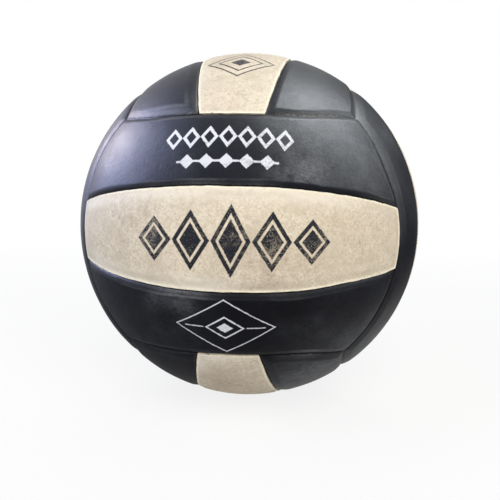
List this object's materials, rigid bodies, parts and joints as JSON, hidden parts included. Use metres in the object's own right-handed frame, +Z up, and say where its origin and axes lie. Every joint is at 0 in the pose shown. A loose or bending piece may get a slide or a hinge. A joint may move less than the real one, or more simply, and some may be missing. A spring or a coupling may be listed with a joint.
{
  "type": "volleyball",
  "caption": "Leather volleyball: black and ivory panels laid in strips over a rubber carcass, nylon winding and bladder, with a needle valve at the back.",
  "frame": {"origin": "centre of the ball", "axes": "+Y out of the needle valve at the middle of the back face, +Z up to the middle of the top face, -Y out of the middle of the front face, whose strips lie along X"},
  "size_m": [0.21, 0.2099, 0.21],
  "materials": {
    "black_leather": "satin, worn",
    "ivory_leather": "satin, worn",
    "carcass_rubber": "matt",
    "nylon_winding": "wound thread",
    "butyl_rubber": "satin",
    "valve_rubber": "satin"
  },
  "bodies": {
    "root": {"front_upper_panel": "black_leather", "front_middle_panel": "ivory_leather", "front_lower_panel": "black_leather", "back_upper_panel": "black_leather", "back_middle_panel": "ivory_leather", "back_lower_panel": "black_leather", "bottom_right_panel": "black_leather", "bottom_middle_panel": "ivory_leather", "bottom_left_panel": "black_leather", "top_right_panel": "black_leather", "top_middle_panel": "ivory_leather", "top_left_panel": "black_leather", "left_back_panel": "black_leather", "left_middle_panel": "ivory_leather", "left_front_panel": "black_leather", "right_back_panel": "black_leather", "right_middle_panel": "ivory_leather", "right_front_panel": "black_leather", "carcass": "carcass_rubber", "winding": "nylon_winding", "bladder": "butyl_rubber", "valve_housing": "valve_rubber", "valve_plug": "valve_rubber"}
  },
  "joints": []
}
